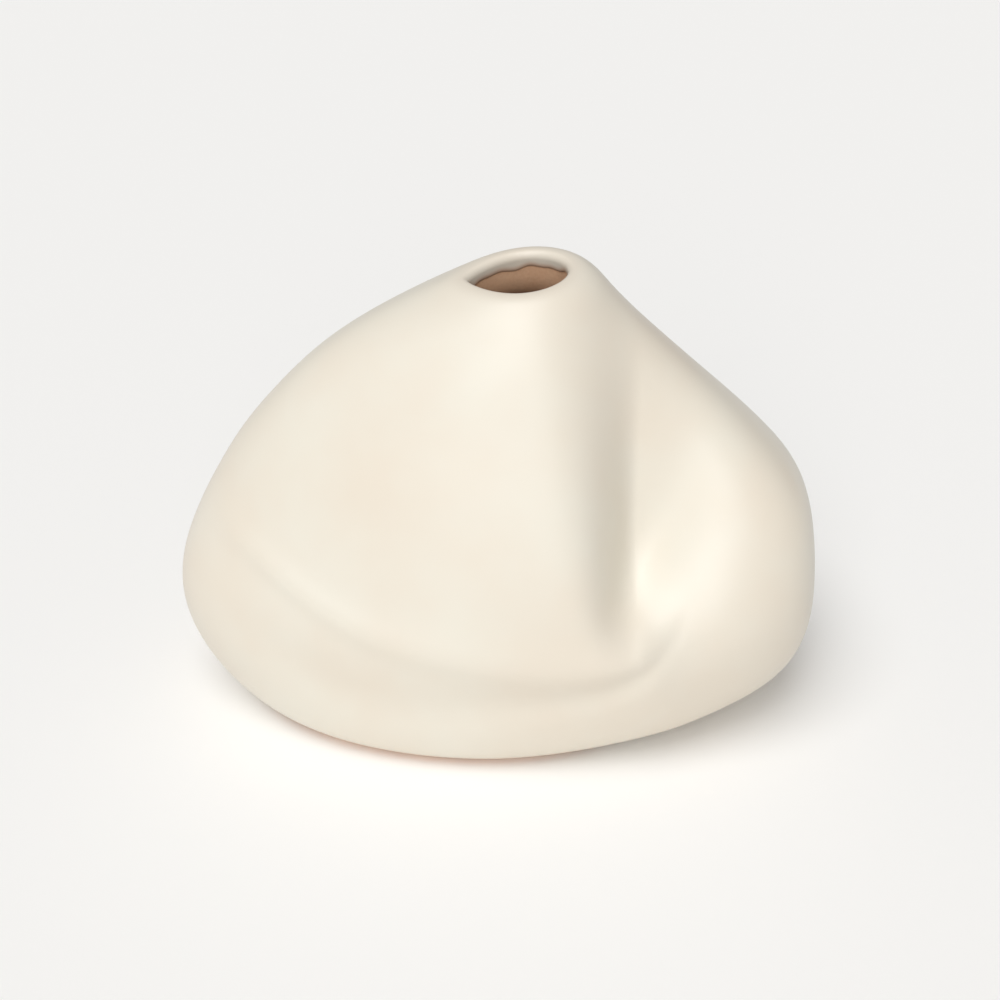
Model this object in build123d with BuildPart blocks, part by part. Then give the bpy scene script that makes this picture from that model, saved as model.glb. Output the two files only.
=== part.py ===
from build123d import *
import math
import os
from functools import lru_cache

# A pillow vase: a thin clay shell, cast in a mould and pinched while soft, under a coat of satin glaze.
# Its front, at -Y, has one deep fold that runs down from the mouth, and a soft hem under the belly.
# The foot stands on Z = 0 and the origin is the middle of the vase at its foot.
#
# The outside is a stack of closed outlines, from the foot to the mouth. Each outline reaches out to the
# left, right, front and back by amounts that change smoothly with the level, and the fold, the hem and
# the tuck push its front in or out. The clay and the hollow are the same outlines, drawn further in.

# Driving dimensions, in millimetres.
vase_height = 182.4  # from the table to the middle of the mouth
left_reach = 132.5
right_reach = 128.0
front_reach = 72.0
back_reach = 72.0
axis_right = 2.0  # the line that the reaches are measured from lies this far right of the origin
foot_left = 95.0
foot_right = 68.0
foot_front = 58.0
foot_back = 50.0
mouth_width = 47.0
mouth_front = 19.0
mouth_back = 19.0
mouth_right = 6.5  # the mouth's middle lies this far right of the axis line
mouth_tilt = 6.0  # degrees, with the right end of the mouth the higher one
mouth_nod = 9.0  # degrees, with the front of the mouth the lower side
belly_lean = 24.0  # how far the front of the belly leans to the right
right_fullness = 0.16  # how much further than an oval the right end reaches between its four sides
front_ease_share = 0.75  # the fold and the hem act in full where the front reaches out this far
shoulder_share = 0.6  # the outlines start to tilt towards the mouth at this share of the height

clay_thickness = 4.2
glaze_thickness = 0.6
floor_thickness = 6.0
lip_width = 4.0  # the clay round the mouth, seen from above
lip_inner_round = 1.4
mouth_wall = 6.0  # how far the upright wall of the mouth reaches down
glaze_foot_gap = 2.5  # bare clay between the table and the edge of the glaze
foot_ring_width = 9.0
foot_recess = 1.5

fold_depth = 40.0
fold_width = 40.0
hem_ridge = 2.6
hem_ridge_width = 8.0
tuck_depth = 4.6
tuck_width = 14.0
tuck_drop = 36.0  # how far the tuck lies below the hem at most
lobe_rise = 2.5  # the soft round lobe right of the fold
lobe_radius = 24.0

# Control shares, evenly spread from the foot to the mouth. The first and last rings are named sizes.
height_shares = [0, 0.016, 0.055, 0.13, 0.23, 0.335, 0.44, 0.543, 0.647, 0.757, 0.866, 0.945, 0.985, 1]
left_shares = [0.79, 0.865, 0.945, 0.995, 0.985, 0.93, 0.855, 0.765, 0.655, 0.525, 0.355, 0.235]
right_shares = [0.69, 0.85, 0.95, 1, 0.996, 0.98, 0.93, 0.8, 0.605, 0.42, 0.3, 0.23]
front_shares = [0.875, 0.945, 0.985, 1, 1, 0.93, 0.835, 0.73, 0.62, 0.52, 0.42, 0.33]
back_shares = [0.78, 0.86, 0.96, 1, 1, 0.945, 0.87, 0.78, 0.655, 0.52, 0.42, 0.33]
lean_shares = [-0.4, -0.3, 0.05, 0.5, 0.75, 0.92, 1, 0.92, 0.79, 0.54, 0.29, 0.125, 0, 0]
mouth_right_shares = [0, 0, 0, 0, 0, 0, 0, 0, 0, 0, 0, 0.4, 1, 1]
point_shares = [0, 0, 0, 0, 0, 0, 0.03, 0.05, 0.08, 0.1, 0.15, 0.25, 0.3, 0.35]  # how the left end narrows
fullness_shares = [0, 0, 0.3, 0.7, 1, 1, 1, 1, 0.8, 0.5, 0.25, 0, 0, 0]  # how far the right end fills out

# The fold, from its foot up. Heights are shares of the vase's height, places are shares of right_reach.
fold_span_shares = (0.247, 0.96)
fold_line_shares = [0.43, 0.426, 0.414, 0.395, 0.371, 0.348, 0.316]
fold_depth_span_shares = (0.285, 0.987)
fold_depth_shares = [0.55, 0.95, 0.925, 0.775, 0.6, 0.4, 0.2, 0]
fold_left_shares = [0.25, 0.275, 0.325, 0.375, 0.45, 0.55, 0.5]
fold_right_shares = [0.35, 0.45, 0.55, 0.675, 0.75, 0.75, 0.65]
fold_end_shares = (0.305, 0.425)

# The hem and the tuck under it, from left to right. Its ends are shares of the reaches.
hem_left_share = 0.943
hem_right_share = 0.547
hem_start_shares = (-0.02, 0.1)  # between these shares of its length it rises out of the wall
hem_end_shares = (0.94, 1.12)  # and between these it sinks back into it
hem_height_shares = [0.504, 0.499, 0.482, 0.422, 0.367, 0.329, 0.288, 0.274, 0.329, 0.384]
hem_ridge_shares = [0, 0.46, 0.62, 0.62, 0.62, 0.62, 0.69, 0.85, 0.77, 0.23]
hem_width_shares = [0.8, 0.8, 0.8, 0.8, 0.8, 0.8, 0.8, 0.75, 0.62, 0.62]
tuck_drop_shares = [1, 1, 0.94, 0.94, 0.83, 0.61, 0.39, 0.24, 0.18, 0.15]
tuck_depth_shares = [0.04, 0.17, 0.26, 0.28, 0.28, 0.28, 0.37, 0.57, 0.65, 0.26]
tuck_width_shares = [1, 1, 1, 0.93, 0.86, 0.71, 0.57, 0.46, 0.39, 0.39]

# The places of the soft lobe, as shares of right_reach and of the vase's height.
lobe_right_share = 0.69
lobe_height_share = 0.35

level_count = 33
hollow_level_count = 18
points_round = 48
lip_round_steps = 3
hollow_top_share = 0.84  # the level from which the hollow runs straight to the wall of the mouth
mouth_overrun = 4.0  # the mouth is cut this far past the lip
least_steepness_share = 0.4  # a wall that lies flatter than this is thickened no further


def steered(values, share):
    """The value at a share, 0 to 1, of the cubic B-spline that evenly spread control values steer."""
    degree = 3
    spans = len(values) - degree
    place = min(max(share, 0), 1) * spans
    first = min(int(place), spans - 1)

    def knot(index):
        return min(max(index - degree, 0), spans)

    near = list(values[first : first + degree + 1])
    for step in range(1, degree + 1):
        for i in range(degree, step - 1, -1):
            low = knot(first + i)
            high = knot(first + i + 1 + degree - step)
            part = (place - low) / (high - low)
            near[i] = (1 - part) * near[i - 1] + part * near[i]
    return near[degree]


def eased(low, high, value):
    """0 up to low, 1 from high on, and a smooth rise between them."""
    share = min(max((value - low) / (high - low), 0), 1)
    return share * share * (3 - 2 * share)


def bump(distance, width):
    """1 in the middle of a soft bump, fading away over about its width."""
    return math.exp(-((distance / width) ** 2))


def rings(size, shares, foot, mouth):
    """A reach at each control ring: its foot, shares of its full size, and its mouth."""
    return [foot] + [size * share for share in shares] + [mouth]


ring_tables = {
    "left": rings(left_reach, left_shares, foot_left, mouth_width / 2),
    "right": rings(right_reach, right_shares, foot_right, mouth_width / 2),
    "front": rings(front_reach, front_shares, foot_front, mouth_front),
    "back": rings(back_reach, back_shares, foot_back, mouth_back),
    "height": [vase_height * share for share in height_shares],
    "lean": [belly_lean * share for share in lean_shares],
    "shift": [mouth_right * share for share in mouth_right_shares],
    "point": point_shares,
    "fullness": [right_fullness * share for share in fullness_shares],
}


@lru_cache(maxsize=None)
def ring(level):
    """What the control rings steer at a level: the four reaches, the height, and the rest, by name."""
    return {name: steered(values, level) for name, values in ring_tables.items()}


def fold_at(x, height):
    """How far the fold pushes the front in, at a place and height of the unfolded wall."""
    low, high = (share * vase_height for share in fold_span_shares)
    rise = (height - low) / (high - low)
    from_line = x - right_reach * steered(fold_line_shares, rise)
    side_shares = fold_left_shares if from_line < 0 else fold_right_shares
    width = fold_width * steered(side_shares, rise)
    low, high = (share * vase_height for share in fold_depth_span_shares)
    depth = fold_depth * steered(fold_depth_shares, (height - low) / (high - low))
    end_low, end_high = (share * vase_height for share in fold_end_shares)
    return depth * eased(end_low, end_high, height) * bump(from_line, width)


def hem_at(x, height):
    """How far the hem pushes the front out, less how far the tuck below it pulls the front in."""
    left, right = -hem_left_share * left_reach, hem_right_share * right_reach
    along = (x - left) / (right - left)
    ends = eased(*hem_start_shares, along) * (1 - eased(*hem_end_shares, along))
    over_hem = height - vase_height * steered(hem_height_shares, along)
    over_tuck = over_hem + tuck_drop * steered(tuck_drop_shares, along)
    ridge = hem_ridge * steered(hem_ridge_shares, along)
    ridge *= bump(over_hem, hem_ridge_width * steered(hem_width_shares, along))
    tuck = tuck_depth * steered(tuck_depth_shares, along)
    tuck *= bump(over_tuck, tuck_width * steered(tuck_width_shares, along))
    return ends * (ridge - tuck)


def lobe_at(x, height):
    """How far the soft round lobe right of the fold pushes the front out."""
    across = x - lobe_right_share * right_reach
    up = height - lobe_height_share * vase_height
    return lobe_rise * bump(math.hypot(across, up), lobe_radius)


def between(positive, negative, turn):
    """One reach turning smoothly into the other as turn, a sine or cosine, goes from 1 to -1."""
    share = 0.5 + 0.25 * turn * (3 - turn * turn)
    return negative + (positive - negative) * share


def tilts(height):
    """How steeply an outline rises to the right and to the back, from nothing up to the shoulder."""
    amount = eased(shoulder_share, 1, height / vase_height)
    return amount * math.tan(math.radians(mouth_tilt)), amount * math.tan(math.radians(mouth_nod))


def outside(angle, level, front_worked=True):
    """A point of the glazed outside, at an angle in radians and a level from 0, the foot, to 1.

    The inside follows the fold alone, so the hem and the lobe are left out where front_worked is False.
    """
    across, along = math.cos(angle), math.sin(angle)
    now = ring(level)
    side = between(now["right"], now["left"], across)
    face = between(now["back"], now["front"], along)
    narrowing = now["point"] * ((1 - across) / 2) ** 3
    full = now["fullness"] * (1 + across) / 2
    x = side * across * (1 + full * along**2) + now["shift"] + now["lean"] * max(-along, 0) ** 2
    y = face * along * (1 - narrowing) * (1 + full * across**2)
    height = now["height"]
    on_front = eased(0, front_ease_share, -y / now["front"])
    y += on_front * fold_at(x, height)
    if front_worked:
        y -= on_front * (hem_at(x, height) + lobe_at(x, height))
    rise, nod = tilts(height)
    return Vector(x + axis_right, y, height + rise * (x - mouth_right) + nod * y)


def level_plane(level, lift=0):
    """The plane of a level's outline, flat up to the shoulder and tilted like the mouth at the top."""
    height = ring(level)["height"]
    rise, nod = tilts(height)
    middle = Vector(axis_right + mouth_right, 0, height)
    upright = Vector(-rise, -nod, 1).normalized()
    return Plane(middle + upright * lift, x_dir=(1, 0, rise), z_dir=upright)


def inward(angle, level, front_worked):
    """The direction into the wall within a level's plane, and how steep the wall is, 1 being square."""
    nudge = 0.001
    right, left = outside(angle + nudge, level, front_worked), outside(angle - nudge, level, front_worked)
    higher, lower = min(level + nudge, 1), max(level - nudge, 0)
    upward = outside(angle, higher, front_worked) - outside(angle, lower, front_worked)
    normal = (right - left).cross(upward).normalized()
    upright = level_plane(level).z_dir
    outward = normal - upright * normal.dot(upright)
    return -outward.normalized(), outward.length


def outline(level, depth, square_to_wall=True, front_worked=True):
    """The closed curve of a level in its own plane, at a depth.

    The depth is measured square to the wall, or along the plane where square_to_wall is False. The curve's
    parameters are spread evenly, so that the curves of all levels match.
    """
    plane = level_plane(level)
    points = []
    for i in range(points_round):
        angle = 2 * math.pi * i / points_round
        direction, steepness = inward(angle, level, front_worked)
        reach = depth / max(steepness, least_steepness_share) if square_to_wall else depth
        points.append(plane.to_local_coords(outside(angle, level, front_worked) + direction * reach))
    shares = [i / points_round for i in range(points_round + 1)]
    return Edge.make_spline(points, periodic=True, parameters=shares)


def stack(outlines):
    """A solid through outlines, each of them a plane and a closed curve in it."""
    with BuildPart() as solid:
        for plane, curve in outlines:
            with BuildSketch(plane):
                with BuildLine():
                    add(curve)
                make_face()
        loft(ruled=True)
    return solid.part


def skin_outlines(depth):
    """The outlines of the whole outside at a depth, from the foot to the mouth."""
    levels = [step / (level_count - 1) for step in range(level_count)]
    return [(level_plane(level), outline(level, depth)) for level in levels]


def hollow_outlines(depth):
    """The outlines of the hollow at a depth, those near the foot lifted to leave a floor under them."""
    outlines = []
    for step in range(hollow_level_count):
        level = hollow_top_share * step / (hollow_level_count - 1)
        lift = floor_thickness * (1 - ring(level)["height"] / vase_height) ** 3
        outlines.append((level_plane(level, lift), outline(level, depth, front_worked=False)))
    return outlines


def mouth_column(depth, lip, rounding):
    """A column through the mouth, whose flared top leaves a round on the inner edge of the lip."""
    outlines = [(level_plane(1, -mouth_wall), outline(1, depth, False))]
    for step in range(lip_round_steps + 1):
        turn = math.radians(90) * step / lip_round_steps
        drop, flare = rounding * (1 - math.sin(turn)), rounding * (1 - math.cos(turn))
        outlines.append((level_plane(1, lip - drop), outline(1, depth - flare, False)))
    outlines.append((level_plane(1, mouth_overrun), outline(1, depth - rounding, False)))
    return stack(outlines)


os.makedirs("parts", exist_ok=True)

# The solids that the two pieces are cut from.
wall_thickness = glaze_thickness + clay_thickness
lip_inside = glaze_thickness + lip_width
glaze_outside = stack(skin_outlines(0))
clay_outside = stack(skin_outlines(glaze_thickness))
under_the_lip = [(level_plane(1, -mouth_wall), outline(1, lip_inside, False))]
hollow = stack(hollow_outlines(wall_thickness) + under_the_lip)
mouth_in_clay = mouth_column(lip_inside, -glaze_thickness, lip_inner_round)
mouth_in_glaze = mouth_column(lip_inside + glaze_thickness, 0, lip_inner_round + glaze_thickness)

# The clay body: an even shell with a rounded lip, open at the mouth, on a foot ring with a shallow recess.
with BuildPart() as clay_body:
    add(clay_outside)
    split(bisect_by=level_plane(1, -glaze_thickness), keep=Keep.BOTTOM)
    add(hollow, mode=Mode.SUBTRACT)
    add(mouth_in_clay, mode=Mode.SUBTRACT)
    with BuildSketch(Plane.XY):
        with BuildLine():
            add(outline(0, glaze_thickness + foot_ring_width, False))
        make_face()
    extrude(amount=foot_recess, mode=Mode.SUBTRACT)
clay_body.part.label = "clay_body"
export_step(clay_body.part, "parts/clay_body.step")

# The glaze coat: it covers the outside down to just above the foot, rolls over the lip, and ends inside it.
with BuildPart() as glaze_coat:
    add(glaze_outside)
    split(bisect_by=Plane.XY.offset(glaze_foot_gap), keep=Keep.TOP)
    add(mouth_in_glaze, mode=Mode.SUBTRACT)
    add(clay_body.part, mode=Mode.SUBTRACT)
    add(hollow, mode=Mode.SUBTRACT)
glaze_coat.part.label = "glaze_coat"
export_step(glaze_coat.part, "parts/glaze_coat.step")
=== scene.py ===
"""The look of a pillow vase: cream satin glaze over a thin tan clay body, on a pale studio floor.

The vase is one closed form, worked out from a few rings of sizes. Lengths here are millimetres and
angles are degrees, unless a name says otherwise, and they turn into metres as they go into a mesh.
+X is to the right, -Y is the front with the fold, and the foot stands on Z = 0. A share is a fraction
of the size that its name gives, and a table of shares steers a spline.
"""

import logging
import math
from dataclasses import dataclass, field
from enum import Enum

import bpy
import numpy as np
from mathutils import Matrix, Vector


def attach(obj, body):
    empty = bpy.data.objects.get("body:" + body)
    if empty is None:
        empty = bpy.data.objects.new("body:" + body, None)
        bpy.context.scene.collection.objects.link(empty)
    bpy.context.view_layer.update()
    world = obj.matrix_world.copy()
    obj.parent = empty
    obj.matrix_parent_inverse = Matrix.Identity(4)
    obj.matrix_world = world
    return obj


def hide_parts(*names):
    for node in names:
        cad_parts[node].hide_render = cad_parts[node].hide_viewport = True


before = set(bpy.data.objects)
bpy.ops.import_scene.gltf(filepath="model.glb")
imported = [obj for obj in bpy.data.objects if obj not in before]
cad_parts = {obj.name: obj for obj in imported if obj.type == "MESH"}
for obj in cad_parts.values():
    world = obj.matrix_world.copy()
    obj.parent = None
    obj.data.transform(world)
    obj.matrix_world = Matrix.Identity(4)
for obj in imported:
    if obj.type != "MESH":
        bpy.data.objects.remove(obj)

LOG = logging.getLogger("pillow_vase")
METRES = 0.001
TINY = 1e-12
NUDGE = 1e-3  # the small step, along a level or an angle, that slopes are measured over
HALVINGS = 24
SPLINE_DEGREE = 3


def steered(values: list[float], share: np.ndarray) -> np.ndarray:
    """Follow the cubic B-spline that evenly spread control values steer, by de Boor's repeated mixing.

    Args:
        values: the control values, the first and last of which the curve reaches.
        share: how far along the curve, 0 to 1, as an array of any shape.

    Returns:
        The curve's value at each share.
    """
    table = np.asarray(values, float)
    spans = len(table) - SPLINE_DEGREE
    place = np.clip(share, 0, 1) * spans
    first = np.minimum(place.astype(int), spans - 1)
    near = [table[first + i] for i in range(SPLINE_DEGREE + 1)]
    for step in range(1, SPLINE_DEGREE + 1):
        for i in range(SPLINE_DEGREE, step - 1, -1):
            low = np.clip(first + i - SPLINE_DEGREE, 0, spans)
            high = np.clip(first + i + 1 - step, 0, spans)
            part = (place - low) / (high - low)
            near[i] = (1 - part) * near[i - 1] + part * near[i]
    return near[SPLINE_DEGREE]


def share_between(value: np.ndarray, start: float, end: float) -> np.ndarray:
    """Share of the way that a value is from a start to an end, kept between 0 and 1."""
    return np.clip((value - start) / (end - start), 0, 1)


def eased(low: float, high: float, value: np.ndarray) -> np.ndarray:
    """Rise smoothly from 0 at low to 1 at high: three squares of the share less two cubes."""
    share = share_between(value, low, high)
    return share * share * (3 - 2 * share)


def side_to_side(one: np.ndarray, other: np.ndarray, way: np.ndarray) -> np.ndarray:
    """Pass from one reach to the other as a way goes from -1 to 1, level at both ends.

    The share of the other is a half, plus a quarter of the way times three less its square.
    """
    return one + (other - one) * (0.5 + 0.25 * way * (3 - way**2))


def bump(distance: np.ndarray, width: np.ndarray) -> np.ndarray:
    """Fade from 1 in the middle to nothing over about a width: e to the minus square of their ratio."""
    return np.exp(-((distance / width) ** 2))


def tailed(distance: np.ndarray, width: np.ndarray) -> np.ndarray:
    """Fade from 1 in the middle with a long tail: one over one more than the square of their ratio."""
    return 1 / (1 + (distance / width) ** 2)


def unit(vectors: np.ndarray) -> np.ndarray:
    """Scale each vector in the last axis of an array to length 1."""
    return vectors / np.maximum(np.linalg.norm(vectors, axis=-1, keepdims=True), TINY)


def joined(start: np.ndarray, leave: np.ndarray, end: np.ndarray, arrive: np.ndarray,
           pull: float, share: np.ndarray) -> np.ndarray:
    """Join two points by Hermite's cubic, which leaves and arrives along given ways.

    Args:
        start: the first points.
        leave: the unit vector that the cubic leaves along.
        end: the last points.
        arrive: the unit vector that it arrives along.
        pull: how fast it leaves and arrives, as a multiple of the gap between the points.
        share: how far along, 0 to 1.

    Returns:
        The points at each share.
    """
    share = share[..., None]
    speed = np.linalg.norm(end - start, axis=-1, keepdims=True) * pull
    square, cube = share**2, share**3
    return ((2 * cube - 3 * square + 1) * start + (cube - 2 * square + share) * (leave * speed)
            + (3 * square - 2 * cube) * end + (cube - square) * (arrive * speed))


class Face(Enum):
    """Which face of the wall a form describes."""

    OUTSIDE = "outside"
    INSIDE = "inside"


@dataclass
class VaseForm:
    """The form of the vase, as rings of reaches, with the fold, the hem and the tuck in its front.

    A ring has a reach to the left, right, front and back, from the foot up to the mouth. The fold is
    the deep pinch right of the middle, the hem is the soft ridge under the belly, the tuck is the
    crease below the hem, and the lobe is the round swelling right of the fold.
    """

    height: float = 182.4
    left_reach: float = 132.4
    right_reach: float = 127.9
    front_reach: float = 72.0
    back_reach: float = 72.0
    axis_right: float = 2.0
    foot: tuple[float, float, float, float] = (95.0, 58.0, 58.0, 50.0)
    mouth_width: float = 47.0
    mouth_depth: float = 38.0
    mouth_right: float = 6.5
    mouth_tilt: float = 6.0
    mouth_nod: float = 9.0
    tilt_start_share: float = 0.6
    belly_lean: float = 24.0
    right_fullness: float = 0.16
    fold_depth: float = 40.0
    fold_width: float = 40.0
    inside_fold_ease: float = 4.0
    hem_ridge: float = 2.6
    hem_ridge_width: float = 8.0
    tuck_depth: float = 4.6
    tuck_width: float = 14.0
    tuck_drop: float = 36.0
    lobe_rise: float = 2.5
    lobe_radius: float = 24.0
    wall: float = 5.4
    floor: float = 6.0
    lip_width: float = 5.2
    lip_drop: float = 3.0
    height_shares: list[float] = field(default_factory=lambda: [
        0, 0.016, 0.055, 0.13, 0.23, 0.335, 0.44, 0.543, 0.647, 0.757, 0.866, 0.945, 0.985, 1])
    left_shares: list[float] = field(default_factory=lambda: [
        0.79, 0.865, 0.945, 0.995, 0.985, 0.93, 0.855, 0.765, 0.655, 0.525, 0.355, 0.235])
    right_shares: list[float] = field(default_factory=lambda: [
        0.61, 0.83, 0.965, 1, 0.996, 0.98, 0.945, 0.812, 0.605, 0.42, 0.3, 0.23])
    front_shares: list[float] = field(default_factory=lambda: [
        0.875, 0.945, 0.985, 1, 1, 0.93, 0.835, 0.73, 0.62, 0.52, 0.42, 0.33])
    back_shares: list[float] = field(default_factory=lambda: [
        0.78, 0.86, 0.96, 1, 1, 0.945, 0.87, 0.78, 0.655, 0.52, 0.42, 0.33])
    lean_shares: list[float] = field(default_factory=lambda: [
        -0.4, -0.3, 0.05, 0.5, 0.75, 0.92, 1, 0.92, 0.79, 0.54, 0.29, 0.125, 0, 0])
    mouth_right_shares: list[float] = field(default_factory=lambda: [0] * 11 + [0.4, 1, 1])
    point_shares: list[float] = field(default_factory=lambda: [
        0, 0, 0, 0, 0, 0, 0.03, 0.05, 0.08, 0.1, 0.15, 0.25, 0.3, 0.35])
    fullness_shares: list[float] = field(default_factory=lambda: [
        0, 0, 0.3, 0.7, 1, 1, 1, 1, 0.8, 0.5, 0.25, 0, 0, 0])
    fold_span_shares: tuple[float, float] = (0.247, 0.96)
    fold_line_shares: list[float] = field(default_factory=lambda: [
        0.398, 0.4, 0.402, 0.406, 0.41, 0.415, 0.4])
    fold_depth_span_shares: tuple[float, float] = (0.285, 0.987)
    fold_depth_shares: list[float] = field(default_factory=lambda: [
        0.56, 0.56, 0.8, 0.72, 0.6, 0.44, 0.22, 0])
    fold_left_shares: list[float] = field(default_factory=lambda: [
        0.2, 0.24, 0.3, 0.37, 0.45, 0.5, 0.5])
    fold_right_shares: list[float] = field(default_factory=lambda: [
        1.5, 1.7, 1.85, 2, 2, 2, 2])
    fold_end_shares: tuple[float, float] = (0.358, 0.045)
    fold_end_spreads: tuple[float, float] = (0.25, 2.4)
    fold_end_start: float = 26.0
    hem_left_share: float = 0.943
    hem_right_share: float = 0.547
    hem_start_shares: tuple[float, float] = (-0.02, 0.1)
    hem_end_shares: tuple[float, float] = (0.86, 1.1)
    hem_front_share: float = 0.75
    hem_height_shares: list[float] = field(default_factory=lambda: [
        0.51, 0.5, 0.476, 0.384, 0.325, 0.3, 0.28, 0.274, 0.32, 0.384])
    hem_ridge_shares: list[float] = field(default_factory=lambda: [
        0.2, 0.9, 1.1, 0.75, 0.62, 0.65, 0.75, 0.8, 0.45, 0.1])
    hem_width_shares: list[float] = field(default_factory=lambda: [
        0.8, 0.8, 0.8, 0.8, 0.9, 1.1, 1.25, 1.15, 0.9, 0.7])
    tuck_drop_shares: list[float] = field(default_factory=lambda: [
        1, 1, 0.94, 0.94, 0.83, 0.61, 0.39, 0.24, 0.18, 0.15])
    tuck_depth_shares: list[float] = field(default_factory=lambda: [
        0.04, 0.2, 0.3, 0.3, 0.3, 0.28, 0.36, 0.45, 0.34, 0.1])
    tuck_width_shares: list[float] = field(default_factory=lambda: [
        1, 1, 1, 0.93, 0.86, 0.71, 0.57, 0.46, 0.39, 0.39])
    lobe_right_share: float = 0.69
    lobe_height_share: float = 0.35

    def ring(self, name: str, level: np.ndarray) -> np.ndarray:
        """Read one of the ring tables at a level.

        Args:
            name: left, right, front or back.
            level: from 0 at the foot to 1 at the mouth.

        Returns:
            The reach to that side, in millimetres.
        """
        place = ("left", "right", "front", "back").index(name)
        full = getattr(self, name + "_reach")
        mouth = (self.mouth_width if name in ("left", "right") else self.mouth_depth) / 2
        shares = getattr(self, name + "_shares")
        return steered([self.foot[place]] + [full * share for share in shares] + [mouth], level)

    def fold(self, x: np.ndarray, z: np.ndarray, face: Face) -> np.ndarray:
        """Depth of the fold, from its line: a narrow bump to the left and a long tail to the right.

        Downwards the depth ends in a step, which is half of one plus a hyperbolic tangent. To the right
        the step stands higher and gets softer, by the square of the distance over the distance plus a
        start.

        Args:
            x: place of the unfolded wall.
            z: height of the unfolded wall.
            face: the inside's fold is a little wider, so that the wall doesn't cross itself.

        Returns:
            How far the front is pushed in.
        """
        low, high = (share * self.height for share in self.fold_span_shares)
        rise = (z - low) / (high - low)
        off_line = x - self.right_reach * steered(self.fold_line_shares, rise)
        ease = self.inside_fold_ease if face is Face.INSIDE else 0
        left_width = self.fold_width * steered(self.fold_left_shares, rise) + ease
        right_width = self.fold_width * steered(self.fold_right_shares, rise) + ease
        low, high = (share * self.height for share in self.fold_depth_span_shares)
        depth = self.fold_depth * steered(self.fold_depth_shares, (z - low) / (high - low))
        to_right = np.maximum(off_line, 0) ** 2 / (np.maximum(off_line, 0) + self.fold_end_start)
        middle, softness = (share * self.height + spread * to_right
                            for share, spread in zip(self.fold_end_shares, self.fold_end_spreads))
        across = np.where(off_line < 0, bump(off_line, left_width), tailed(off_line, right_width))
        return depth * (0.5 + 0.5 * np.tanh((z - middle) / softness)) * across

    def hem(self, x: np.ndarray, z: np.ndarray) -> np.ndarray:
        """Height of the hem's ridge less the depth of the tuck under it, both bumps across their lines.

        Args:
            x: place of the unfolded wall.
            z: height of the unfolded wall.

        Returns:
            How far the front is pushed out.
        """
        left = -self.hem_left_share * self.left_reach
        right = self.hem_right_share * self.right_reach
        along = (x - left) / (right - left)
        ends = eased(*self.hem_start_shares, along) * (1 - eased(*self.hem_end_shares, along))
        over_hem = z - self.height * steered(self.hem_height_shares, along)
        over_tuck = over_hem + self.tuck_drop * steered(self.tuck_drop_shares, along)
        ridge = self.hem_ridge * steered(self.hem_ridge_shares, along)
        ridge = ridge * bump(over_hem, self.hem_ridge_width * steered(self.hem_width_shares, along))
        tuck = self.tuck_depth * steered(self.tuck_depth_shares, along)
        tuck = tuck * bump(over_tuck, self.tuck_width * steered(self.tuck_width_shares, along))
        return ends * (ridge - tuck)

    def lobe(self, x: np.ndarray, z: np.ndarray) -> np.ndarray:
        """Height of the soft round lobe right of the fold: a bump round its middle.

        Args:
            x: place of the unfolded wall.
            z: height of the unfolded wall.

        Returns:
            How far the front is pushed out.
        """
        across = x - self.lobe_right_share * self.right_reach
        upward = z - self.lobe_height_share * self.height
        return self.lobe_rise * bump(np.hypot(across, upward), self.lobe_radius)

    def wall_point(self, angle: np.ndarray, level: np.ndarray, face: Face = Face.OUTSIDE) -> np.ndarray:
        """Points of the glazed outside: an oval of four reaches, leaned, pinched, folded and tilted.

        Args:
            angle: radians round the vase, 0 at the right end and a quarter turn at the back.
            level: from 0 at the foot to 1 at the mouth.
            face: the inside follows the fold but not the hem, the tuck and the lobe.

        Returns:
            Points in millimetres, with x, y and z in a last axis.
        """
        across, along = np.cos(angle), np.sin(angle)
        left, right = self.ring("left", level), self.ring("right", level)
        front, back = self.ring("front", level), self.ring("back", level)
        side, deep = side_to_side(left, right, across), side_to_side(front, back, along)
        shift = self.mouth_right * steered(self.mouth_right_shares, level)
        lean = self.belly_lean * steered(self.lean_shares, level)
        full = self.right_fullness * steered(self.fullness_shares, level) * (1 + across) / 2
        x = side * across * (1 + full * along**2) + shift + lean * np.maximum(-along, 0) ** 2
        y = deep * along * (1 - steered(self.point_shares, level) * ((1 - across) / 2) ** 3)
        y = y * (1 + full * across**2)
        z = self.height * steered(self.height_shares, level) + 0 * x
        forward = np.maximum(-y / front, 0)
        pushed = self.fold(x, z, face) * forward
        if face is Face.OUTSIDE:
            pushed = pushed - (self.hem(x, z) + self.lobe(x, z)) * eased(0, self.hem_front_share, forward)
        y = y + pushed
        tilted = eased(self.tilt_start_share, 1, z / self.height)
        z = z + tilted * math.tan(math.radians(self.mouth_tilt)) * (x - self.mouth_right)
        z = z + tilted * math.tan(math.radians(self.mouth_nod)) * y
        return np.stack([x + self.axis_right, y, z], -1)

    def wall_normal(self, angle: np.ndarray, level: np.ndarray, face: Face = Face.OUTSIDE) -> np.ndarray:
        """Outward normals of the wall: the cross product of the steps round it and up it."""
        around = self.wall_point(angle + NUDGE, level, face) - self.wall_point(angle - NUDGE, level, face)
        upward = (self.wall_point(angle, np.minimum(level + NUDGE, 1), face)
                  - self.wall_point(angle, np.maximum(level - NUDGE, 0), face))
        return unit(np.cross(around, upward))

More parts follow.
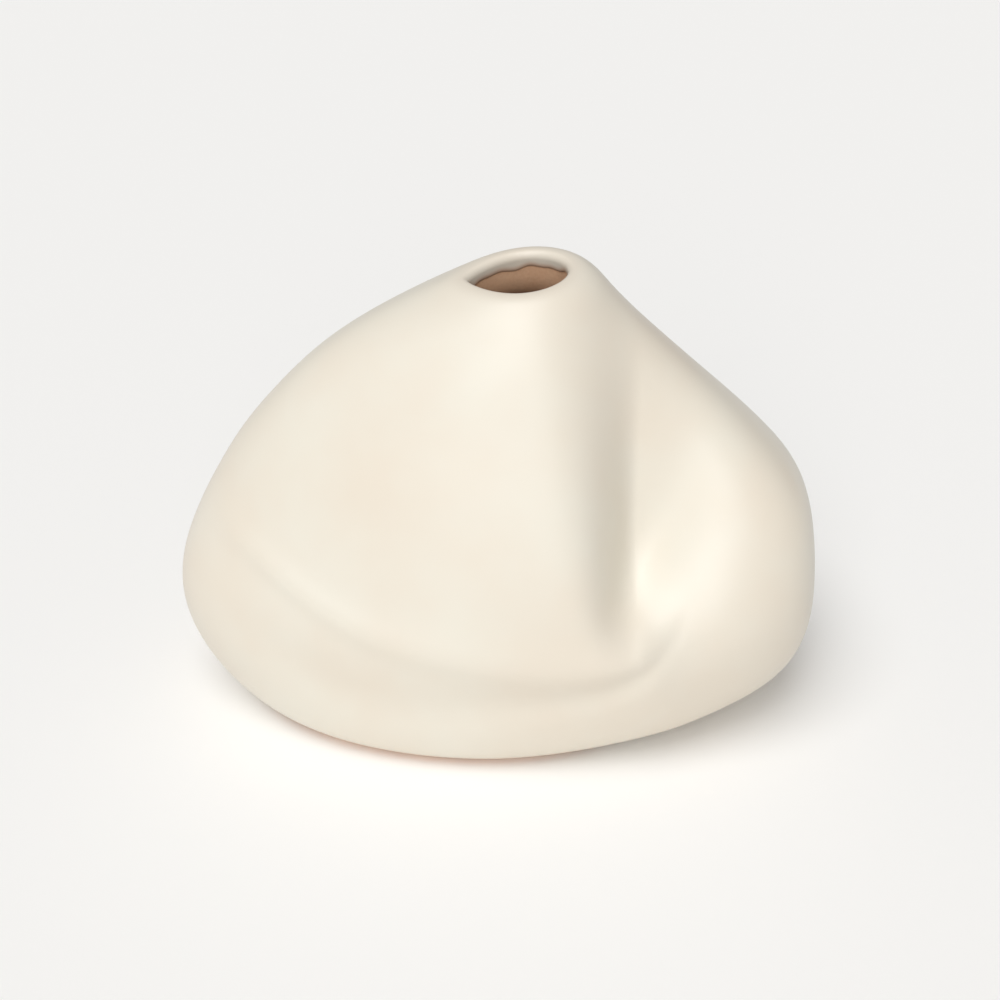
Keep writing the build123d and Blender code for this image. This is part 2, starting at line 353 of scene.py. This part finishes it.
    def inner_point(self, angle: np.ndarray, level: np.ndarray) -> np.ndarray:
        """Points of the inside: the wall moved in by its thickness and lifted to the floor at the foot.

        The lift is the floor's thickness times the cube of what is left of the height.
        """
        point = self.wall_point(angle, level, Face.INSIDE)
        point = point - self.wall * self.wall_normal(angle, level, Face.INSIDE)
        low = np.clip(point[..., 2] / self.height, 0, 1)
        point[..., 2] = np.maximum(point[..., 2] + self.floor * (1 - low) ** 3, self.floor)
        return point

    def mouth_frame(self, angle: np.ndarray) -> tuple[np.ndarray, np.ndarray, np.ndarray]:
        """Place the lip: the mouth's outline, the way in from it, and the way up out of its plane.

        Args:
            angle: radians round the vase.

        Returns:
            The outline's points, unit vectors inwards in the mouth's plane, and its upright.
        """
        tilt, nod = math.radians(self.mouth_tilt), math.radians(self.mouth_nod)
        up = unit(np.array([-math.tan(tilt), -math.tan(nod), 1]))
        top = np.ones_like(angle)
        around = self.wall_point(angle + NUDGE, top) - self.wall_point(angle - NUDGE, top)
        return self.wall_point(angle, top), unit(np.cross(up, around)), up


@dataclass
class SkinPath:
    """The glazed surface as one path: 0 to 1 up the outside, 1 to 2 over the lip, 2 to 3 down inside.

    The lip has its crest at one place, and the throat ends at another. The stretch that the glaze
    hides eases in and out over two pairs of places.
    """

    form: VaseForm
    outside_top: float = 0.968
    inside_top: float = 0.75
    crest_place: float = 1.5
    throat_end_place: float = 2.25
    crest_pull: float = 1.15
    throat_pull: float = 1.8
    hidden_start: tuple[float, float] = (0.03, 0.06)
    hidden_end: tuple[float, float] = (1.85, 1.98)

    def hidden(self, place: np.ndarray) -> np.ndarray:
        """How far a place is inside the hidden stretch: 0 at the glaze's edges and 1 well between them."""
        return eased(*self.hidden_start, place) * (1 - eased(*self.hidden_end, place))

    def point(self, angle: np.ndarray, place: np.ndarray) -> np.ndarray:
        """Points of the path, each stretch of it worked out whole and then chosen by place.

        The lip rises to its crest by a cubic and turns in by a quarter of an ellipse, and the throat
        drops from it by a second cubic.

        Args:
            angle: radians round the vase.
            place: 0 to 3 along the path.

        Returns:
            Points in millimetres.
        """
        form = self.form
        rim, inward, up = form.mouth_frame(angle)
        top = np.full_like(angle, self.outside_top)
        outside = form.wall_point(angle, np.clip(place, 0, 1) * self.outside_top)
        wall_end = form.wall_point(angle, top)
        wall_way = unit(wall_end - form.wall_point(angle, top - NUDGE))
        half_lip = inward * form.lip_width / 2
        crest = rim + half_lip
        over = joined(wall_end, wall_way, crest, inward, self.crest_pull,
                      share_between(place, 1, self.crest_place))
        turn = share_between(place, self.crest_place, 2)[..., None] * math.pi / 2
        into = crest + half_lip * np.sin(turn) - up * form.lip_drop * (1 - np.cos(turn))
        lip_end = rim + inward * form.lip_width - up * form.lip_drop
        top = np.full_like(angle, self.inside_top)
        inner_end = form.inner_point(angle, top)
        inner_way = unit(form.inner_point(angle, top - NUDGE) - inner_end)
        throat = joined(lip_end, -up, inner_end, inner_way, self.throat_pull,
                        share_between(place, 2, self.throat_end_place))
        inside = form.inner_point(angle, self.inside_top * share_between(place, 3, self.throat_end_place))
        place = place[..., None]
        ends = [place < 1, place < self.crest_place, place < 2, place < self.throat_end_place]
        return np.select(ends, [outside, over, into, throat], inside)


def grid_normals(points: np.ndarray) -> np.ndarray:
    """Normals of a grid whose columns go round: the cross product of its steps round and along."""
    around = np.roll(points, -1, 1) - np.roll(points, 1, 1)
    return unit(np.cross(around, np.gradient(points, axis=0)))


def grid_angles(columns: int, crowding: float = 0.5, front: float = 295.0) -> np.ndarray:
    """Angles round the vase, closer together near its front: even steps plus a sine.

    Args:
        columns: how many angles there are.
        crowding: how much closer they are at the front, from 0 to 1.
        front: the angle in degrees where they are closest.

    Returns:
        Angles in radians, once round.
    """
    even = np.arange(columns) * 2 * math.pi / columns
    return even - crowding * np.sin(even - math.radians(front))


def mesh_object(name: str, points: np.ndarray, faces: np.ndarray,
                marks: dict[str, np.ndarray] | None = None) -> bpy.types.Object:
    """Make a smooth mesh object at the origin.

    Args:
        name: the object's name.
        points: vertices in millimetres, one a row.
        faces: rows of four vertex numbers, with the third one repeated in a triangle.
        marks: numbers from 0 to 1 for each vertex, by attribute name.

    Returns:
        The object, linked to the scene.
    """
    is_quad = faces[:, 2] != faces[:, 3]
    loops = np.where(is_quad, 4, 3)
    mesh = bpy.data.meshes.new(name)
    mesh.vertices.add(len(points))
    mesh.vertices.foreach_set("co", (points * METRES).astype(np.float32).ravel())
    keep = np.ones(faces.shape, bool)
    keep[~is_quad, 3] = False
    mesh.loops.add(int(loops.sum()))
    mesh.loops.foreach_set("vertex_index", faces[keep].astype(np.int32))
    mesh.polygons.add(len(faces))
    mesh.polygons.foreach_set("loop_start", np.concatenate([[0], np.cumsum(loops)[:-1]]).astype(np.int32))
    mesh.polygons.foreach_set("use_smooth", np.ones(len(faces), bool))
    for mark, values in (marks or {}).items():
        layer = mesh.attributes.new(mark, "FLOAT", "POINT")
        layer.data.foreach_set("value", values.astype(np.float32).ravel())
    mesh.update(calc_edges=True)
    mesh.validate()
    thing = bpy.data.objects.new(name, mesh)
    bpy.context.scene.collection.objects.link(thing)
    return thing


def band_faces(rows: int, columns: int, closed: bool) -> np.ndarray:
    """Faces between the rows of a grid whose columns go round.

    Args:
        rows: how many rows the grid has.
        columns: how many columns it has.
        closed: whether the last row also joins the first.

    Returns:
        Rows of four vertex numbers, wound so that rows which go up the outside face outwards.
    """
    row = np.arange(rows if closed else rows - 1)[:, None]
    column = np.arange(columns)[None, :]
    after, beside = (row + 1) % rows, (column + 1) % columns
    corners = [row * columns + column, row * columns + beside,
               after * columns + beside, after * columns + column]
    return np.stack([corner.ravel() for corner in corners], -1)


def linear(hex_code: str) -> tuple[float, float, float, float]:
    """Turn an sRGB hex code such as F2E9DA into linear colour with an alpha of 1."""
    parts = [int(hex_code[i:i + 2], 16) / 255 for i in (0, 2, 4)]
    return tuple(c / 12.92 if c <= 0.04045 else ((c + 0.055) / 1.055) ** 2.4 for c in parts) + (1.0,)


def add_node(tree: bpy.types.NodeTree, kind: str, settings: dict | None = None,
             links: dict | None = None) -> bpy.types.Node:
    """Add a node, set it up and link sockets into it.

    Args:
        tree: the material's or world's node tree.
        kind: the node's type name.
        settings: values for its properties, or for its inputs by their name or number.
        links: output sockets, by the name or number of the input that each goes into.

    Returns:
        The node.
    """
    node = tree.nodes.new(kind)
    for key, value in (settings or {}).items():
        if isinstance(key, str) and hasattr(node, key):
            setattr(node, key, value)
        else:
            node.inputs[key].default_value = value
    for key, socket in (links or {}).items():
        tree.links.new(socket, node.inputs[key])
    return node


def new_material(name: str) -> tuple[bpy.types.Material, bpy.types.NodeTree]:
    """Make an empty node material, and return it with its tree."""
    material = bpy.data.materials.new(name)
    material.use_nodes = True
    material.node_tree.nodes.clear()
    return material, material.node_tree


def per_metre(size: float) -> float:
    """Scale of a texture whose features are about a size in millimetres."""
    return 1 / (size * METRES)


@dataclass(frozen=True)
class SatinGlaze:
    """Cream stoneware glaze, dipped and fired to a satin: smooth and glassy, with broad soft highlights.

    It breaks to a warm pink-tan where it runs thin, on the crest of the lip and at its edges, and its
    surface has the faint waviness and peel of a melted coat. Sizes and heights are millimetres.
    """

    cream: str = "E5DFD1"
    warm_cream: str = "E3D9C9"
    thin: str = "C9A68C"
    ior: float = 1.5
    roughness: float = 0.42
    roughness_spread: tuple[float, float] = (-0.04, 0.05)
    coat: float = 0.15
    coat_roughness: float = 0.25
    cloud_size: float = 60.0
    cloud_range: tuple[float, float] = (0.35, 0.65)
    wave_size: float = 14.0
    wave_height: float = 1.0
    wave_strength: float = 0.06
    peel_size: float = 2.2
    peel_height: float = 0.2
    peel_strength: float = 0.04

    def material(self) -> bpy.types.Material:
        """Build the glaze's node material."""
        material, tree = new_material("satin_cream_glaze")
        place = add_node(tree, "ShaderNodeTexCoord").outputs["Object"]
        clouds = add_node(tree, "ShaderNodeTexNoise", {"Scale": per_metre(self.cloud_size), "Detail": 3.0},
                          {"Vector": place})
        low, high = self.cloud_range
        tone = add_node(tree, "ShaderNodeMapRange", {"From Min": low, "From Max": high},
                        {"Value": clouds.outputs["Fac"]})
        body = add_node(tree, "ShaderNodeMix", {"data_type": "RGBA", 6: linear(self.cream),
                                                7: linear(self.warm_cream)}, {0: tone.outputs["Result"]})
        thinness = add_node(tree, "ShaderNodeAttribute", {"attribute_name": "thinness"})
        colour = add_node(tree, "ShaderNodeMix", {"data_type": "RGBA", 7: linear(self.thin)},
                          {0: thinness.outputs["Fac"], 6: body.outputs[2]})
        waves = add_node(tree, "ShaderNodeTexNoise", {"Scale": per_metre(self.wave_size), "Detail": 1.0},
                         {"Vector": place})
        peel = add_node(tree, "ShaderNodeTexNoise", {"Scale": per_metre(self.peel_size), "Detail": 2.0},
                        {"Vector": place})
        slow = add_node(tree, "ShaderNodeBump",
                        {"Strength": self.wave_strength, "Distance": self.wave_height * METRES},
                        {"Height": waves.outputs["Fac"]})
        fine = add_node(tree, "ShaderNodeBump",
                        {"Strength": self.peel_strength, "Distance": self.peel_height * METRES},
                        {"Height": peel.outputs["Fac"], "Normal": slow.outputs["Normal"]})
        smooth, rough = (self.roughness + spread for spread in self.roughness_spread)
        sheen = add_node(tree, "ShaderNodeMapRange", {"To Min": smooth, "To Max": rough},
                         {"Value": clouds.outputs["Fac"]})
        glaze = add_node(tree, "ShaderNodeBsdfPrincipled",
                         {"IOR": self.ior, "Coat Weight": self.coat, "Coat Roughness": self.coat_roughness},
                         {"Base Color": colour.outputs[2], "Roughness": sheen.outputs["Result"],
                          "Normal": fine.outputs["Normal"]})
        add_node(tree, "ShaderNodeOutputMaterial", {}, {"Surface": glaze.outputs["BSDF"]})
        return material


@dataclass(frozen=True)
class FiredClay:
    """Tan stoneware clay, cast in a mould and fired bare: dry and matt, with a fine sandy grain.

    Broad patches of it lean a little to brown. Sizes and heights are millimetres.
    """

    tan: str = "F2CAA6"
    brown: str = "E2B692"
    ior: float = 1.5
    roughness: float = 0.85
    patch_size: float = 25.0
    grain_size: float = 1.1
    grain_height: float = 0.3
    grain_strength: float = 0.35
    grain_tint: float = 0.35
    tint_range: tuple[float, float] = (0.5, 0.85)

    def material(self) -> bpy.types.Material:
        """Build the clay's node material."""
        material, tree = new_material("bare_fired_stoneware")
        place = add_node(tree, "ShaderNodeTexCoord").outputs["Object"]
        patches = add_node(tree, "ShaderNodeTexNoise", {"Scale": per_metre(self.patch_size), "Detail": 4.0},
                           {"Vector": place})
        grain = add_node(tree, "ShaderNodeTexNoise", {"Scale": per_metre(self.grain_size), "Detail": 3.0},
                         {"Vector": place})
        mixed = add_node(tree, "ShaderNodeMath", {"operation": "MULTIPLY_ADD", 1: self.grain_tint},
                         {0: grain.outputs["Fac"], 2: patches.outputs["Fac"]})
        low, high = self.tint_range
        tone = add_node(tree, "ShaderNodeMapRange", {"From Min": low, "From Max": high},
                        {"Value": mixed.outputs["Value"]})
        colour = add_node(tree, "ShaderNodeMix", {"data_type": "RGBA", 6: linear(self.brown),
                                                  7: linear(self.tan)}, {0: tone.outputs["Result"]})
        rough = add_node(tree, "ShaderNodeBump",
                         {"Strength": self.grain_strength, "Distance": self.grain_height * METRES},
                         {"Height": grain.outputs["Fac"]})
        clay = add_node(tree, "ShaderNodeBsdfPrincipled", {"Roughness": self.roughness, "IOR": self.ior},
                        {"Base Color": colour.outputs[2], "Normal": rough.outputs["Normal"]})
        add_node(tree, "ShaderNodeOutputMaterial", {}, {"Surface": clay.outputs["BSDF"]})
        return material


@dataclass
class GlazeCoat:
    """The glaze: a closed skin from just above the foot, over the lip, to a wavy edge inside the mouth.

    Its back is just sunk into the clay at the edges, and lies deeper between them, so that its coarser
    rows never come through its face. The inner edge's waves are each a height, a count round the mouth
    and a phase.
    """

    path: SkinPath
    finish: SatinGlaze = SatinGlaze()
    thickness: float = 0.6
    sink: float = 0.05
    hidden_sink: float = 0.7
    foot_gap: float = 2.5
    edge_length: float = 1.6
    columns: int = 320
    outside_rows: int = 190
    lip_rows: int = 32
    inside_rows: int = 10
    under_rows: int = 52
    foot_search: tuple[float, float] = (0.0, 0.2)
    inner_edge: float = 2.6
    inner_edge_wave: float = 1.3
    inner_edge_waves: tuple[tuple[float, int, float], ...] = ((0.8, 1, 0.0), (0.35, 7, 2.1), (0.25, 12, 0.4))
    inner_edge_search: tuple[float, float] = (2.0, 2.15)
    thin_crest: float = 0.08
    thin_crest_place: float = 1.55
    thin_crest_spread: float = 0.22

    def place_at(self, angle: np.ndarray, height: np.ndarray, start: float, end: float) -> np.ndarray:
        """Find where the path passes a height, by halving the stretch that holds it.

        Args:
            angle: the columns' angles.
            height: the height in millimetres, for each angle.
            start: a place before it on the path.
            end: a place after it.

        Returns:
            The place for each angle.
        """
        low, high = np.full_like(angle, start), np.full_like(angle, end)
        at_start = self.path.point(angle, low)[..., 2] < height
        for _ in range(HALVINGS):
            middle = (low + high) / 2
            early = (self.path.point(angle, middle)[..., 2] < height) == at_start
            low, high = np.where(early, middle, low), np.where(early, high, middle)
        return (low + high) / 2

    def foot_place(self, angle: np.ndarray) -> np.ndarray:
        """Where the glaze starts at the foot."""
        return self.place_at(angle, np.full_like(angle, self.foot_gap), *self.foot_search)

    def end_place(self, angle: np.ndarray) -> np.ndarray:
        """Where the glaze ends inside: a few millimetres down, deeper at the back, in a sum of sines."""
        waves = sum(height * np.sin(count * angle + phase) for height, count, phase in self.inner_edge_waves)
        top = self.path.point(angle, np.full_like(angle, 2))[..., 2]
        edge = top - self.inner_edge - self.inner_edge_wave * waves
        return self.place_at(angle, edge, *self.inner_edge_search)

    def places(self, angle: np.ndarray, outside: int, lip: int, inside: int) -> np.ndarray:
        """Places along the path from edge to edge, one row of them for each angle.

        Args:
            angle: the columns' angles.
            outside: how many rows go up the outside.
            lip: how many go over the lip.
            inside: how many go down the inside.

        Returns:
            An array of rows by columns.
        """
        foot, end = self.foot_place(angle), self.end_place(angle)
        up = np.linspace(0, 1, outside, endpoint=False)[:, None]
        over = np.linspace(1, 2, lip, endpoint=False)[:, None]
        down = np.linspace(0, 1, inside)[:, None]
        return np.vstack([foot + (1 - foot) * up, over + 0 * foot, 2 + (end - 2) * down])

    def build(self) -> bpy.types.Object:
        """Build the skin as a closed loop of rows: its face from edge to edge, then its back."""
        angle = grid_angles(self.columns)
        face_at = self.places(angle, self.outside_rows, self.lip_rows, self.inside_rows)
        back_at = self.places(angle, self.under_rows, self.lip_rows // 2, self.inside_rows // 2)[::-1]
        wide = np.broadcast_to(angle, face_at.shape)
        face = self.path.point(wide, face_at)
        normals = grid_normals(face)
        steps = np.linalg.norm(np.diff(face, axis=0), axis=-1)
        walked = np.vstack([np.zeros(self.columns), np.cumsum(steps, 0)])
        to_edge = np.minimum(walked, walked[-1] - walked)
        full = np.sqrt(1 - (1 - np.clip(to_edge / self.edge_length, 0, 1)) ** 2)
        face = face - normals * (self.thickness * (1 - full))[..., None]
        wide = np.broadcast_to(angle, back_at.shape)
        back = self.path.point(wide, back_at)
        depth = self.thickness + self.sink + self.hidden_sink * self.path.hidden(back_at)
        back = back + grid_normals(back) * depth[..., None]
        points = np.vstack([face, back])
        thin_crest = bump(face_at - self.thin_crest_place, self.thin_crest_spread) * self.thin_crest
        thin_edge = 1 - eased(0, 2 * self.edge_length, to_edge)
        thin = np.vstack([np.clip(thin_crest + thin_edge, 0, 1), np.ones_like(back_at)])
        faces = band_faces(len(points), self.columns, closed=True)
        piece = mesh_object("glaze_skin", points.reshape(-1, 3), faces, {"thinness": thin})
        piece.data.materials.append(self.finish.material())
        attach(piece, "root")
        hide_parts("glaze_coat")
        return piece


@dataclass
class ClayBody:
    """The clay: foot ring and recess, outside under the glaze, lip, inside and floor, as one closed shell.

    Its face lies the glaze's thickness under the path, and deeper where the glaze hides it, so that its
    coarser rows never come through the glaze.
    """

    path: SkinPath
    finish: FiredClay = FiredClay()
    depth: float = 0.6
    hidden_depth: float = 1.3
    foot_ring: float = 9.0
    foot_recess: float = 1.5
    recess_slope: float = 1.5
    columns: int = 260
    outside_rows: int = 110
    lip_rows: int = 24
    throat_rows: int = 40
    inside_rows: int = 110
    disc_rows: int = 12
    disc_start_share: float = 0.05

    def build(self) -> bpy.types.Object:
        """Build the shell from the middle of its underside to the middle of its floor."""
        angle = grid_angles(self.columns)
        up = np.linspace(0, 1, self.outside_rows, endpoint=False)
        over = np.linspace(1, 2, self.lip_rows, endpoint=False)
        throat = np.linspace(2, self.path.throat_end_place, self.throat_rows, endpoint=False)
        down = np.linspace(self.path.throat_end_place, 3, self.inside_rows)
        place = np.concatenate([up, over, throat, down])[:, None] + 0 * angle
        skin = self.path.point(np.broadcast_to(angle, place.shape), place)
        depth = self.depth + self.hidden_depth * self.path.hidden(place)
        skin = skin - grid_normals(skin) * depth[..., None]
        skin[..., 2] = np.maximum(skin[..., 2], 0)
        foot = skin[0]
        foot[:, 2] = 0
        middle = foot.mean(0)
        inward = unit(middle - foot)
        ring = [foot + inward * self.foot_ring,
                foot + inward * (self.foot_ring + self.recess_slope) + [0, 0, self.foot_recess]]
        shares = np.linspace(self.disc_start_share, 1, self.disc_rows, endpoint=False)[:, None, None]
        centre = middle + [0, 0, self.foot_recess]
        underside = centre + (ring[1] - centre) * shares
        last = skin[-1]
        floor_middle = last.mean(0)
        floor = last + (floor_middle - last) * (1 - shares[::-1])
        rows = np.vstack([underside, ring[1][None], ring[0][None], skin, floor])
        points = np.vstack([rows.reshape(-1, 3), centre, floor_middle])
        faces = band_faces(len(rows), self.columns, closed=False)
        here = np.arange(self.columns)
        beside = (here + 1) % self.columns
        under, over_floor = len(points) - 2, len(points) - 1
        end = (len(rows) - 1) * self.columns
        fans = [np.stack([beside, here, here * 0 + under, here * 0 + under], -1),
                np.stack([end + here, end + beside, here * 0 + over_floor, here * 0 + over_floor], -1)]
        piece = mesh_object("clay_shell", points, np.vstack([faces] + fans))
        piece.data.materials.append(self.finish.material())
        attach(piece, "root")
        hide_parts("clay_body")
        return piece


@dataclass(frozen=True)
class PaleFloor:
    """Matt white paper sweep: no gloss, so that it takes only the vase's soft shadow."""

    white: str = "F9F8F6"

    def material(self) -> bpy.types.Material:
        """Build the floor's node material."""
        material, tree = new_material("matt_white_paper")
        paper = add_node(tree, "ShaderNodeBsdfDiffuse", {"Color": linear(self.white)})
        add_node(tree, "ShaderNodeOutputMaterial", {}, {"Surface": paper.outputs["BSDF"]})
        return material


@dataclass(frozen=True)
class SoftLamp:
    """A far, soft lamp that lights everything evenly from one side.

    It stands at an azimuth from +X towards +Y and at an elevation, looks as wide from the vase as its
    spread, and its strength is its light on a square surface, in watts a square metre.
    """

    name: str
    azimuth: float
    elevation: float
    spread: float
    strength: float

    def hang(self) -> None:
        """Hang the lamp, facing the vase."""
        data = bpy.data.lights.new(self.name, "SUN")
        data.angle, data.energy = math.radians(self.spread), self.strength
        lamp = bpy.data.objects.new(self.name, data)
        turn, rise = math.radians(self.azimuth), math.radians(self.elevation)
        towards = Vector((math.cos(rise) * math.cos(turn), math.cos(rise) * math.sin(turn), math.sin(rise)))
        lamp.location = towards
        lamp.rotation_euler = (-towards).to_track_quat("-Z", "Y").to_euler()
        bpy.context.scene.collection.objects.link(lamp)


@dataclass
class Studio:
    """The pale floor, the soft lamps, the even surroundings and the camera.

    The camera's place, aim and focal length give the photograph's viewing angle and frame.
    """

    finish: PaleFloor = PaleFloor()
    lamps: tuple[SoftLamp, ...] = (
        SoftLamp("key", azimuth=254.0, elevation=42.0, spread=30.0, strength=0.5),
        SoftLamp("fill", azimuth=236.0, elevation=68.0, spread=40.0, strength=1.45),
        SoftLamp("front", azimuth=264.0, elevation=28.0, spread=40.0, strength=0.78))
    floor_reach: float = 6000.0
    camera_place: tuple[float, float, float] = (2.0, -519.6, 385.0)
    camera_aim: tuple[float, float, float] = (2.0, 0.0, 85.0)
    frame_pixels: float = 1000.0
    focal_pixels: float = 1490.55
    sensor: float = 36.0
    sight: float = 18000.0
    surroundings: float = 0.28
    backdrop: float = 0.87

    def floor(self) -> bpy.types.Object:
        """Lay the floor, a flat square that the camera never sees the end of."""
        reach = self.floor_reach
        corners = np.array([[-reach, -reach, 0], [reach, -reach, 0], [reach, reach, 0], [-reach, reach, 0]])
        floor = mesh_object("floor", corners, np.array([[0, 1, 2, 3]]))
        floor.data.materials.append(self.finish.material())
        return floor

    def world(self) -> None:
        """Set the surroundings: as pale as the floor where the camera sees them, dimmer where they light."""
        world = bpy.data.worlds.new("soft_white_room")
        bpy.context.scene.world = world
        world.use_nodes = True
        tree = world.node_tree
        tree.nodes.clear()
        ray = add_node(tree, "ShaderNodeLightPath")
        seen = add_node(tree, "ShaderNodeMath", {"operation": "MAXIMUM"},
                        {0: ray.outputs["Is Camera Ray"], 1: ray.outputs["Is Transmission Ray"]})
        strength = add_node(tree, "ShaderNodeMapRange",
                            {"To Min": self.surroundings, "To Max": self.backdrop},
                            {"Value": seen.outputs["Value"]})
        light = add_node(tree, "ShaderNodeBackground", {"Color": (1, 1, 1, 1)},
                         {"Strength": strength.outputs["Result"]})
        add_node(tree, "ShaderNodeOutputWorld", {}, {"Surface": light.outputs["Background"]})

    def camera(self) -> None:
        """Stand the camera where the photograph was taken from, with its angle of view."""
        data = bpy.data.cameras.new("camera")
        data.sensor_width = self.sensor
        data.lens = self.sensor * self.focal_pixels / self.frame_pixels
        data.clip_end = self.sight * METRES
        camera = bpy.data.objects.new("camera", data)
        camera.location = Vector(self.camera_place) * METRES
        way = Vector(self.camera_aim) * METRES - camera.location
        camera.rotation_euler = way.to_track_quat("-Z", "Y").to_euler()
        bpy.context.scene.collection.objects.link(camera)
        bpy.context.scene.camera = camera

    def build(self) -> bpy.types.Object:
        """Set up the floor, lamps, surroundings and camera, and return the floor."""
        for lamp in self.lamps:
            lamp.hang()
        self.world()
        self.camera()
        return self.floor()


def main() -> None:
    """Build the vase and its studio."""
    logging.basicConfig(level=logging.INFO, format="%(name)s: %(message)s")
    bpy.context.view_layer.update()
    bpy.context.scene.view_settings.view_transform = "Standard"
    path = SkinPath(VaseForm())
    for part in (GlazeCoat(path), ClayBody(path), Studio()):
        piece = part.build()
        LOG.info("%s: %d faces", piece.name, len(piece.data.polygons))


if __name__ == "__main__":
    main()
